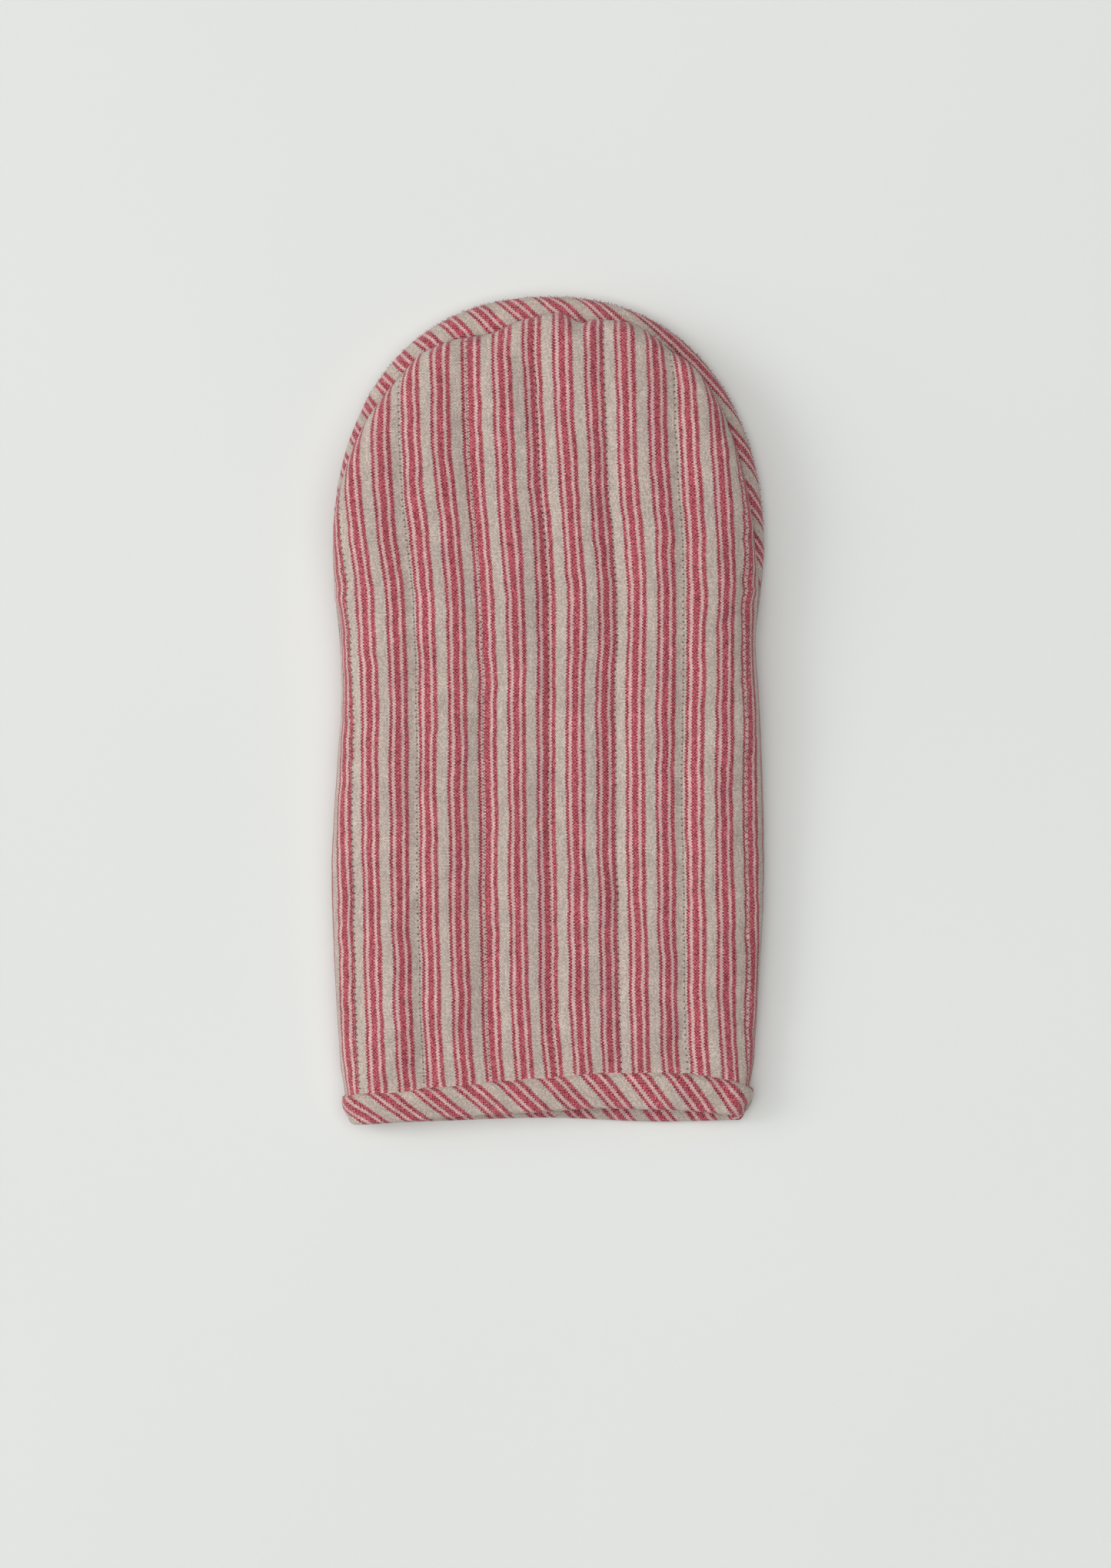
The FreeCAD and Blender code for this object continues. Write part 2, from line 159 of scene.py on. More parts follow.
# ----------------
# Outlines, seen from above
# ----------------
LEFT_EDGE = [(-152, -70.5), (-146, -72.6), (-138, -74), (-120, -75.2), (-95, -76.8), (-62, -78),
             (-20, -76), (8, -74.4), (28, -75.4), (42, -76.8), (56, -77.6)]
RIGHT_EDGE = [(-152, 68), (-146, 70.5), (-138, 72.8), (-120, 74.4), (-95, 76), (-62, 77.6),
              (-20, 77), (8, 75.6), (28, 74.6), (42, 76.2), (56, 77.6)]
FRONT_LEFT = LEFT_EDGE[:-1] + [(56, -77.2)]
FRONT_RIGHT = RIGHT_EDGE[:-2] + [(38, 75.7), (44, 75.9), (50, 75.2), (56, 74.4)]
FRONT_CUFF = [(-80, -149), (-70, -148.6), (-55, -147.6), (-40, -146.2), (-28, -145.2), (0, -143.6),
              (13, -142.6), (35, -142.8), (54, -143.6), (66, -145), (80, -146.5)]
FRONT_BINDING = [(-80, -137.8), (-70, -137.2), (-57, -136), (-34, -133.6), (-16, -132), (0, -130.2),
                 (20, -128.6), (39, -129), (55, -130.4), (69, -133.6), (80, -137)]
BACK_CUFF = [(-80, -149.2), (-40, -147.8), (0, -146.6), (40, -148), (80, -147)]
BACK_BINDING = [(-80, -137.5), (0, -135.5), (80, -136.5)]


def whole_tip(across, along):
    """The back's and lower mouth's round tip: a slightly squared arch."""
    return across * HALF_WIDTH, along * (TIP_Y - 0.9 - ROUND_Y)


def front_tip(across, along):
    """The front's round tip: set back from the back's, its edge rippled by the quilting."""
    x = across * (75.8 - 1.4 * across)
    r = np.sqrt(across**2 + along**2)
    swell = [(2.5, 6, 1.2), (11.5, 3.6, -2.0), (29, 8, 1.2), (45, 5, -1.2), (-21, 10, -3.5),
             (-46, 6, 1.8)]
    ripple = sum(h * np.exp(-(((x - c) / w) ** 2)) for c, w, h in swell)
    y = along * TIP_LENGTH + ripple * ease(r, 0.55, 1.0) * np.sqrt(np.clip(along, 0, 1))
    narrow = 2.4 * np.sin(math.pi * np.clip(along / 0.9, 0, 1)) * np.clip(across, 0, 1)
    return x - narrow * r**2, y


def arch_reach(c, d, powers):
    """How far a rounded arch reaches in the direction (c, d), with a power for each side."""
    left, right = powers
    power = left + (right - left) * ease(c, -0.3, 0.3)
    return (np.abs(c) ** power + d**power) ** (-1 / power)


def square_to_arch(s, t, powers):
    """Maps a half square onto a rounded arch, line by line."""
    across = s * np.sqrt(1 - t**2 / 2)
    along = t * np.sqrt(1 - s**2 / 2)
    r = np.sqrt(across**2 + along**2) + 1e-9
    grow = 1 + (arch_reach(across / r, along / r, powers) - 1) * r**2
    return across * grow, along * grow


def side_lines(half_width, roll):
    """Grid lines across a sheet, close together at the rolled edges, as (place, tuck)."""
    steps = np.array([0, 0.12, 0.4, 0.85, 1.45, 2.2, 3.0, 3.9, 4.9, 6.0, 7.1])
    inner = half_width - steps[-1]
    count = int(round(2 * inner / GRID))
    middle = np.linspace(-inner, inner, count + 1) / half_width
    edge = 1 - steps / half_width
    places = np.concatenate([[-1, -1], -edge[:-1], middle, edge[:-1][::-1], [1, 1]])
    tuck = np.zeros(len(places))
    tuck[[0, -1]], tuck[[1, -2]] = roll, roll / 2
    return places, tuck


class Outline:
    """The edge of a sheet in plan, from its lower left round the tip to its lower right."""

    def __init__(self, left, right, tip, powers, start_y):
        self.left, self.right, self.tip, self.powers = left, right, tip, powers
        y = np.arange(start_y - 12, ROUND_Y, 0.25)
        angle = np.linspace(math.pi, 0, 1400)
        c, d = np.cos(angle), np.sin(angle)
        reach = arch_reach(c, d, powers)
        tip_x, tip_y = tip(c * reach, d * reach)
        x = np.concatenate([through(left, y), tip_x, through(right, y)[::-1]])
        self.points = np.stack([x, np.concatenate([y, ROUND_Y + tip_y, y[::-1]])], 1)
        along = np.gradient(self.points, axis=0)
        along /= np.linalg.norm(along, axis=1, keepdims=True) + 1e-12
        self.out = np.stack([-along[:, 1], along[:, 0]], 1)
        self.tree = KDTree(len(self.points))
        for i, (a, b) in enumerate(self.points):
            self.tree.insert((a, b, 0), i)
        self.tree.balance()

    def middle(self, y):
        left, right = through(self.left, y), through(self.right, y)
        return (left + right) / 2, (right - left) / 2

    def place(self, s, y):
        """A point of the straight stretch: s from -1 on the left edge to 1 on the right."""
        centre, half = self.middle(y)
        return centre + s * half, y

    def place_tip(self, s, t):
        """A point of the round tip: t from 0 where it starts to 1 at its end."""
        x, y = self.tip(*square_to_arch(s, t, self.powers))
        centre, half = self.middle(ROUND_Y)
        flat_x, _ = self.tip(s, np.zeros_like(s))
        return x + (centre + s * half - flat_x) * (1 - t) ** 2, ROUND_Y + y

    def edge(self, x, y):
        """Distance to the edge and the way out to it, for arrays of points."""
        flat = np.stack([np.ravel(x), np.ravel(y)], 1)
        found = np.array([self.tree.find((a, b, 0))[1] for a, b in flat])
        out = self.out[found]
        gap = self.points[found] - flat
        reach = np.abs((gap * out).sum(1))
        far = np.linalg.norm(gap, axis=1)
        reach = np.where(far > 1.5, far, reach)
        return reach.reshape(x.shape), out.reshape(x.shape + (2,))


OUTER = Outline(LEFT_EDGE, RIGHT_EDGE, whole_tip, (2.25, 2.25), -150)
FRONT = Outline(FRONT_LEFT, FRONT_RIGHT, front_tip, (2.1, 2.4), -150)


# ----------------
# Cloth coordinates: where a place in plan lies on the flat cloth
# ----------------
SHIFT = [(-150, 3.0), (-134, 2.8), (-117, 1.7), (-76, 0.8), (-43, 0.3), (7, 0), (30, 0), (40, -0.2),
         (56, -1.3), (73, -2.7), (89, -4.0), (122, -5.1), (150, -5.6)]
SPREAD = [(-150, 0), (5, -0.1), (20, 0.2), (40, 1.0), (56, 1.9), (73, 2.3), (100, 2.2), (150, 2.4)]


class StraightCloth:
    """Stripes along the length, as the front was pulled a little askew over the fingers."""

    def flat(self, x, y):
        return (x - through(SHIFT, y)) / (1 + through(SPREAD, y) / 68), y

    def worn(self, u, v):
        return u * (1 + through(SPREAD, v) / 68) + through(SHIFT, v), v


class PlainCloth:
    """Stripes straight along the length."""

    def flat(self, x, y):
        return x, y

    def worn(self, u, v):
        return u, v


class BiasCloth:
    """The same cloth cut at 45 degrees."""

    def flat(self, x, y):
        return (x + y) / math.sqrt(2), (y - x) / math.sqrt(2)

    def worn(self, u, v):
        return (u - v) / math.sqrt(2), (u + v) / math.sqrt(2)


def row_distance(u):
    """Distance to the nearest row of quilting."""
    turns = (u - ROW_X) / ROW_PITCH
    return ROW_PITCH * np.abs(turns - np.round(turns))


# ----------------
# Mesh building
# ----------------
def new_object(name, vertices, faces, uv=None, material=None):
    """A smooth mesh piece from millimetre vertices, with cloth coordinates if given."""
    mesh = bpy.data.meshes.new(name)
    mesh.from_pydata((np.asarray(vertices) * MM).tolist(), [], faces)
    mesh.polygons.foreach_set("use_smooth", np.ones(len(mesh.polygons), bool))
    if uv is not None:
        layer = mesh.uv_layers.new(name="cloth")
        index = np.empty(len(mesh.loops), np.int32)
        mesh.loops.foreach_get("vertex_index", index)
        layer.data.foreach_set("uv", np.asarray(uv, np.float32)[index].ravel())
    mesh.update()
    obj = bpy.data.objects.new(name, mesh)
    bpy.context.collection.objects.link(obj)
    if material:
        mesh.materials.append(material)
    return obj


def grid_faces(rows, cols, start, flip):
    """Quads of a grid of vertices, row by row."""
    i, j = np.meshgrid(np.arange(rows - 1), np.arange(cols - 1), indexing="ij")
    a = start + i * cols + j
    order = [a, a + 1, a + cols + 1, a + cols]
    return np.stack([o.ravel() for o in (order[::-1] if flip else order)], 1).tolist()


def border(rows, cols):
    """Vertex numbers round a grid, in the order of its quads."""
    first = list(range(cols))
    right = [i * cols + cols - 1 for i in range(1, rows)]
    last = [(rows - 1) * cols + j for j in range(cols - 2, -1, -1)]
    left = [i * cols for i in range(rows - 2, 0, -1)]
    return first + right + last + left


def shell(name, outside, inside, uv, flip, material):
    """A closed thin solid between two grids of points."""
    rows, cols = outside.shape[:2]
    count = rows * cols
    vertices = np.concatenate([outside.reshape(-1, 3), inside.reshape(-1, 3)])
    faces = grid_faces(rows, cols, 0, flip) + grid_faces(rows, cols, count, not flip)
    loop = border(rows, cols)
    for a, b in zip(loop, loop[1:] + loop[:1]):
        quad = [b, a, a + count, b + count]
        faces.append(quad[::-1] if flip else quad)
    return new_object(name, vertices, faces, np.concatenate([uv, uv]), material)


def cloth_uv(u, v):
    """Cloth coordinates in stripe repeats, beige first."""
    return np.stack([(u - BEIGE_X) / REPEAT + BEIGE_MIDDLE, v / REPEAT], -1).reshape(-1, 2)


# ----------------
# Sheets: padded walls whose layers all come from one shape
# ----------------
def front_start(x):
    return through(FRONT_CUFF, x) + 4.0


def back_start(x):
    return through(BACK_CUFF, x) + 4.0


def mouth_start(x):
    return np.full(np.shape(x), MOUTH_Y + 0.1)


def hand_seam(x, y):
    return 6.0 + 0.4 * np.sin(y / 21.0)


def front_seam(x, y):
    """The front's edge climbs from the side seam to the finger jaw's seam past the mouth."""
    return hand_seam(x, y) + 10.6 * ease(y, MOUTH_Y - 4, MOUTH_Y + 26)


FRONT_RISE = [(-152, 15.6), (-132, 17.4), (-100, 18.6), (-62, 19.6), (0, 23.4), (45, 26.0),
              (80, 26.4), (115, 25.6), (143, 23.0)]


def front_face(x, y):
    return through(FRONT_RISE, y) - 1.3 * (x / 78) ** 2


def back_face(x, y):
    return np.full(np.shape(y), 0.2)


def upper_mouth_face(x, y):
    return 13.4 + (UPPER_MOUTH_Z - 13.15) * ease(y, MOUTH_Y, MOUTH_Y + 5)


def lower_mouth_face(x, y):
    return 13.4 + (LOWER_MOUTH_Z - 13.65) * ease(y, MOUTH_Y, MOUTH_Y + 5)


def mouth_upper_roll(y):
    return 9.5 - 5.0 * ease(y, MOUTH_Y, MOUTH_Y + 15)


class Wall:
    """One padded wall. Its layers are the same shape at different depths."""

    def __init__(self, outline, cloth, seam, face, side, roll, start, tape, pinch, seed):
        self.outline, self.cloth, self.seam, self.face = outline, cloth, seam, face
        self.side, self.roll, self.start, self.pinch, self.seed = side, roll, start, pinch, seed
        self.tape = tape
        self.grid()

    def grid(self):
        s, tuck = side_lines(76.0, TUCK)
        count = int(round((ROUND_Y - self.start(np.zeros(1))[0]) / GRID))
        x, y, tucks = [], [], []
        bottom = self.start(self.outline.place(s, np.full(len(s), -140.0))[0])
        for f in np.linspace(0, 1, count + 1)[:-1]:
            px, py = self.outline.place(s, bottom * (1 - f) + ROUND_Y * f)
            x.append(px)
            y.append(py)
            tucks.append(tuck)
        lines, own = side_lines(88.0, TUCK)
        keep = lines > 0.5 * GRID / 88
        for t, extra in zip([0, *lines[keep]], [0, *own[keep]]):
            px, py = self.outline.place_tip(s, np.full(len(s), t))
            x.append(px)
            y.append(py)
            tucks.append(np.maximum(tuck, extra))
        self.x, self.y, self.tuck = np.array(x), np.array(y), np.array(tucks)
        self.reach, self.out = self.outline.edge(self.x, self.y)
        self.reach[self.tuck > 0] = 0
        self.u, self.v = self.unroll(self.x, self.y, self.reach, self.out, self.tuck)
        bare = self.shape(self.x, self.y, self.reach, self.out, self.tuck, 0, 0.06)
        across, along = np.gradient(bare, axis=1), np.gradient(bare, axis=0)
        normal = np.cross(across, along) * self.side
        length = np.linalg.norm(normal, axis=-1, keepdims=True)
        self.normal = normal / np.maximum(length, 1e-9)
        self.normal[self.tuck > 0] = 0

    def share(self, y, reach):
        """How far a place is up the rolled edge, from 0 to 1, and the width of that edge."""
        roll = self.roll(y) if callable(self.roll) else self.roll
        return np.clip(reach / roll, 0, 1), roll

    def shape(self, x, y, reach, out, tuck, depth, edge):
        """Points of the wall at a depth below its outside, with its edge tucked in at the seam."""
        share, roll = self.share(y, reach)
        cut = 0
        # The filling and the lining stay clear of the mouth's corners, which open with the jaw.
        if depth > COVER and self.seam is front_seam:
            beside = ease(y, MOUTH_Y - 4, MOUTH_Y + 3) * (1 - ease(y, MOUTH_Y + 22, MOUTH_Y + 36))
            thinned = beside * (1 - share)
            cut = CORNER_TRIM * thinned
            depth = depth + (CORNER_DEPTH - depth) * 0.9 * np.minimum(1, 3 * thinned)
            share, roll = self.share(y, reach + cut)
        turn = np.sqrt(1 - (1 - share) ** 2)
        bend = ROUNDNESS * turn + (1 - ROUNDNESS) * ease(reach + cut, 0, roll * 4)
        seam = self.seam(x, y)
        climbs = 1 - ease(self.side * (self.face(x, y) - seam), -2.0, 0.5)
        inward = depth * (1 - share) * (1 - climbs) + tuck + cut
        # Where a wall hardly rises, sewn edges lie closer to the seam, or they come through it.
        edge = edge * np.clip(np.abs(self.face(x, y) - seam) / FULL_EDGE, 0, 1)
        z = seam + (self.face(x, y) - seam) * bend
        z = z - self.side * (depth * turn - edge * (1 - turn))
        return np.stack([x - out[..., 0] * inward, y - out[..., 1] * inward, z], -1)

    def unroll(self, x, y, reach, out, tuck):
        """Cloth coordinates, with the length that the rolled edge takes up."""
        share, roll = self.share(y, reach)
        rise = ROUNDNESS * np.abs(self.face(x, y) - self.seam(x, y))
        angle = np.arccos(1 - share)
        left = math.pi / 2 - angle
        speed = [np.hypot(roll * np.sin(angle + left * f), rise * np.cos(angle + left * f))
                 for f in (np.arange(16) + 0.5) / 16]
        extra = np.mean(speed, axis=0) * left - (1 - share) * roll + tuck
        u, v = self.cloth.flat(x + out[..., 0] * extra, y + out[..., 1] * extra)
        waver = 0.45 * noise(x, y, 19, 34, self.seed + 20) + 0.3 * noise(x, y, 8, 13, self.seed + 21)
        return u + waver + 0.12 * noise(x, y, 3.5, 5, self.seed + 22), v

    def relief(self):
        """Quilting furrows, puckers and creases of the outside, in millimetres."""
        u, v, x, y, reach = self.u, self.v, self.x, self.y, self.reach
        row = row_distance(u)
        furrow = -self.pinch * np.exp(-((row / 2.9) ** 1.2))
        fold = 0.5 * noise(u, v, 5.2, 3.4, self.seed) * np.exp(-row / 3.0)
        soft = 0.8 * noise(u, v, 26, 41, self.seed + 1) + 0.36 * noise(u, v, 11, 15, self.seed + 2)
        fine = 0.12 * noise(u, v, 5.5, 4.4, self.seed + 3)
        edge = 0.5 * noise(x + y, y - x, 6.0, 6.0, self.seed + 4) * np.exp(-reach / 5.0)
        share = self.pinch / FULL_PINCH
        lift = furrow + fold * share + (soft + fine) * (0.4 + 0.6 * share) + edge
        return lift * (0.2 + 0.8 * ease(reach, 0, 6))

    def creases(self):
        """Folds that run from the corners of the mouth, and one small fold above the palm."""
        lift = np.zeros_like(self.x)
        if self.face is not front_face:
            return lift
        for corner, folds, turn in ((78, 5, 0.6), (-79, 4, 2.1)):
            dx, dy = self.x - corner, self.y - MOUTH_Y + 2
            far, angle = np.hypot(dx, dy), np.arctan2(dy, dx * np.sign(-corner))
            depth = 1.1 * np.exp(-far / 12) * ease(far, 2, 9)
            lift += depth * (np.cos(folds * angle + turn) - 0.4)
        fold = np.exp(-(((self.y - 39 - 0.1 * self.x) / 1.7) ** 2) - ((self.x + 2) / 9) ** 2)
        ruck = np.exp(-(((self.y + 119 - 0.05 * self.x) / 3.2) ** 2))
        return lift - 0.9 * fold + 0.9 * ruck * noise(self.x, self.y, 13, 60, 77)

    def billow(self):
        """How far the filling pushes the cloth out between its pinned rows of stitches."""
        rows, cols = self.x.shape
        # Only lines without a tuck: Cloth moves nothing in a sheet with edges of no length.
        i = np.flatnonzero(self.tuck[:, cols // 2] == 0)[::2]
        j = np.flatnonzero(self.tuck[0] == 0)[::2]
        pick = np.ix_(i, j)
        bare = self.shape(self.x, self.y, self.reach, self.out, self.tuck, 0, 0.06)
        row = row_distance(self.u)
        bare = bare - self.normal * (self.pinch * np.exp(-row / 3))[..., None]
        coarse = bare[pick] * COARSE
        faces = grid_faces(len(i), len(j), 0, self.side < 0)
        sheet = new_object("billow", coarse.reshape(-1, 3), faces)
        hold = (row < PINNED_ROW) | (self.reach < PINNED_EDGE)
        hold = (hold | (self.y < through(self.tape, self.x) + PINNED_EDGE))[pick]
        hold[0], hold[-1], hold[:, 0], hold[:, -1] = True, True, True, True
        group = sheet.vertex_groups.new(name="held")
        group.add(np.flatnonzero(hold.ravel()).tolist(), 1.0, "REPLACE")
        cloth = sheet.modifiers.new("cloth", "CLOTH").settings
        cloth.quality, cloth.mass, cloth.vertex_group_mass = 5, 0.3, "held"
        cloth.tension_stiffness = cloth.compression_stiffness = 12
        cloth.shear_stiffness, cloth.bending_stiffness = 6, 0.8
        cloth.shrink_min, cloth.use_pressure, cloth.uniform_pressure_force = -0.014, True, 1.6
        cloth.effector_weights.gravity = 0
        for frame_number in range(1, SETTLE_FRAMES + 1):
            bpy.context.scene.frame_set(frame_number)
        settled = sheet.evaluated_get(bpy.context.evaluated_depsgraph_get())
        after = np.array([v.co for v in settled.data.vertices]).reshape(coarse.shape) / MM
        bpy.data.objects.remove(sheet)
        bpy.context.scene.frame_set(1)
        move = (after - coarse) / COARSE
        far = np.linalg.norm(move, axis=-1, keepdims=True)
        move = move * np.minimum(1, PUFF_LIMIT / np.maximum(far, 1e-9))
        for axis, places, count in ((0, i, rows), (1, j, cols)):
            spread = lambda line: np.interp(np.arange(count), places, line)
            move = np.apply_along_axis(spread, axis, move)
        for axis in (0, 1):
            ahead, behind = np.roll(move, 1, axis), np.roll(move, -1, axis)
            move = (ahead + behind) / 4 + move / 2
        return move * (self.tuck == 0)[..., None]

    def lifts(self):
        """How far the outside and the inside stand from their bare shapes."""
        if not hasattr(self, "lift"):
            self.lift = self.relief() + self.creases()
            pressed = np.zeros_like(self.y)
            if self.tape:
                beyond = self.y - through(self.tape, self.x)
                pressed = SQUEEZE * (1 - ease(beyond, 0.5, PRESS_LENGTH))
                self.lift = self.lift * (0.25 + 0.75 * ease(beyond, 1, 12)) - pressed
            row = row_distance(self.u)
            self.inner = 0.7 * self.pinch * np.exp(-((row / 3.4) ** 1.2))
            self.inner += 0.5 * noise(self.u, self.v, 17, 23, self.seed + 7)
            if self.tape:
                self.inner = self.inner * ease(beyond, 1, 12) + pressed
            room = PANEL_ROOM if self.tape else MOUTH_ROOM
            self.inner = np.minimum(self.inner, self.lift + room) * ease(self.reach, 0, 8)
        return self.lift, self.inner

    def surface(self, depth, edge, inside):
        """The detailed surface of one face of a layer."""
        bare = self.shape(self.x, self.y, self.reach, self.out, self.tuck, depth, edge)
        points = bare + self.normal * self.lifts()[inside][..., None]
        if not inside and self.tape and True:
            if not hasattr(self, "puff"):
                self.puff = self.billow()
            points = points + self.puff
        if self.face is back_face:
            points[..., 2] = np.maximum(points[..., 2], FLOOR_GAP + depth)
        return points


WALLS = {
    "front": Wall(FRONT, StraightCloth(), front_seam, front_face, 1, 8.0, front_start,
                  FRONT_BINDING, 1.5, 3),
    "back": Wall(OUTER, PlainCloth(), hand_seam, back_face, -1, 7.0, back_start,
                 BACK_BINDING, 1.2, 17),
    "mouth_upper": Wall(FRONT, BiasCloth(), front_seam, upper_mouth_face, -1, mouth_upper_roll,
                        mouth_start, None, 0.6, 31),
    "mouth_lower": Wall(OUTER, BiasCloth(), hand_seam, lower_mouth_face, 1, 9.5,
                        mouth_start, None, 0.6, 47),
}


# ----------------
# Materials
# ----------------
def linear(colour):
    """A colour of 0 to 255 a channel as linear light."""
    return tuple((c / 255 / 12.92 if c < 10 else ((c / 255 + 0.055) / 1.055) ** 2.4)
                 for c in colour) + (1.0,)


class Shader:
    """Short names for the shader nodes that the materials use."""

    def __init__(self, name, roughness, sheen=0.0):
        self.material = bpy.data.materials.new(name)
        self.material.use_nodes = True
        self.tree = self.material.node_tree
        self.surface = self.tree.nodes["Principled BSDF"]
        self.surface.inputs["Roughness"].default_value = roughness
        self.surface.inputs["Specular IOR Level"].default_value = 0.25
        self.surface.inputs["Sheen Weight"].default_value = sheen
        self.surface.inputs["Sheen Roughness"].default_value = 0.5

    def node(self, kind, settings=(), **inputs):
        node = self.tree.nodes.new(kind)
        for key, value in dict(settings).items():
            setattr(node, key, value)
        for key, value in inputs.items():
            name = key.replace("_", " ") if not key.startswith("i") else int(key[1:])
            self.feed(node.inputs[name], value)
        return node

    def feed(self, socket, value):
        if isinstance(value, bpy.types.NodeSocket):
            self.tree.links.new(value, socket)
        else:
            socket.default_value = value

    def maths(self, operation, *values):
        node = self.node("ShaderNodeMath", {"operation": operation})
        for socket, value in zip(node.inputs, values):
            self.feed(socket, value)
        return node.outputs[0]

    def times(self, a, b):
        return self.maths("MULTIPLY", a, b)

    def minus(self, a, b):
        return self.maths("SUBTRACT", a, b)

    def added(self, a, b):
        return self.maths("ADD", a, b)

    def noise(self, vector, scale, detail=2.0):
        node = self.node("ShaderNodeTexNoise", Vector=vector, Scale=scale, Detail=detail)
        return node.outputs["Fac"]

    def vector(self, x, y, z=0.0):
        return self.node("ShaderNodeCombineXYZ", X=x, Y=y, Z=z).outputs[0]

    def ramp(self, value, stops, interpolation="LINEAR"):
        node = self.node("ShaderNodeValToRGB", Fac=value)
        node.color_ramp.interpolation = interpolation
        while len(node.color_ramp.elements) < len(stops):
            node.color_ramp.elements.new(0.5)
        for element, (place, colour) in zip(node.color_ramp.elements, stops):
            element.position, element.color = place, colour
        return node.outputs["Color"]

    def mix(self, factor, a, b, blend="MIX"):
        node = self.node("ShaderNodeMix", {"data_type": "RGBA", "blend_type": blend})
        self.feed(node.inputs[0], factor)
        self.feed(node.inputs[6], a)
        self.feed(node.inputs[7], b)
        return node.outputs[2]

    def between(self, value, low, high, to_low, to_high):
        node = self.node("ShaderNodeMapRange", {"interpolation_type": "SMOOTHSTEP"},
                         Value=value)
        for key, number in (("From Min", low), ("From Max", high), ("To Min", to_low),
                            ("To Max", to_high)):
            node.inputs[key].default_value = number
        return node.outputs[0]

    def finish(self, colour, height, depth, strength=1.0):
        bump = self.node("ShaderNodeBump", Height=height, Distance=depth * MM,
                         Strength=strength)
        self.feed(self.surface.inputs["Base Color"], colour)
        self.feed(self.surface.inputs["Normal"], bump.outputs[0])
        return self.material


BEIGE, BEIGE_DARK = (208, 194, 182), (186, 168, 156)
RED, RED_DARK, RED_LIGHT = (180, 60, 76), (130, 20, 40), (220, 104, 120)
THIN_RED, PINK = (158, 48, 64), (230, 187, 185)
WEFT = (232, 188, 186)
YARNS = 20  # in one repeat of the stripes


